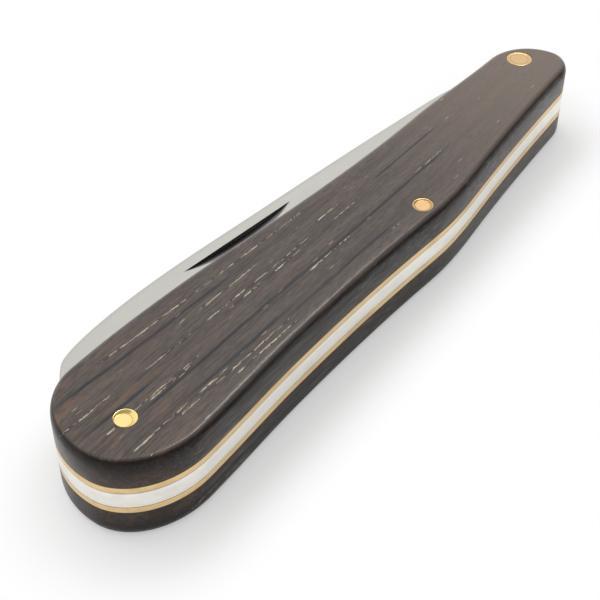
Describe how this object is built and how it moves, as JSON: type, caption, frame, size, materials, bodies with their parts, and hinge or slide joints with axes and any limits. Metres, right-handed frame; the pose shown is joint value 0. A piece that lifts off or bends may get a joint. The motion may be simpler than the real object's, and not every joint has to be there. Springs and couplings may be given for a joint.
{
  "type": "folding pocket knife",
  "caption": "Slipjoint folding knife with dark wooden scales, brass liners and pins, a steel back spring and a spear-point blade with a nail nick.",
  "frame": {"origin": "under the middle of the folded knife, on the surface that its rear scale lies on", "axes": "+X from the butt to the nose, +Y to the side that the blade folds out of, +Z from the rear scale to the front scale"},
  "size_m": [0.0906, 0.0232, 0.011],
  "materials": {
    "scale_wood": "open-grained dark wood, oiled, satin",
    "liner_brass": "sheet brass, edges filed flush",
    "spring_steel": "satin, ground flush with the liners",
    "blade_steel": "satin ground",
    "pin_brass": "peened and polished, slightly domed"
  },
  "bodies": {
    "handle": {"front_scale": "scale_wood", "rear_scale": "scale_wood", "front_liner": "liner_brass", "rear_liner": "liner_brass", "back_spring": "spring_steel", "butt_pin": "pin_brass", "spring_pin": "pin_brass", "pivot_pin": "pin_brass"},
    "blade": {"blade": "blade_steel"}
  },
  "joints": [
    {"name": "blade_pivot", "type": "hinge", "parent": "handle", "child": "blade", "pos_m": [0.04066, -0.00314, 0.0055], "axis": [0, 0, -1], "range_deg": [0, 173], "deforming": ["back_spring"]}
  ]
}
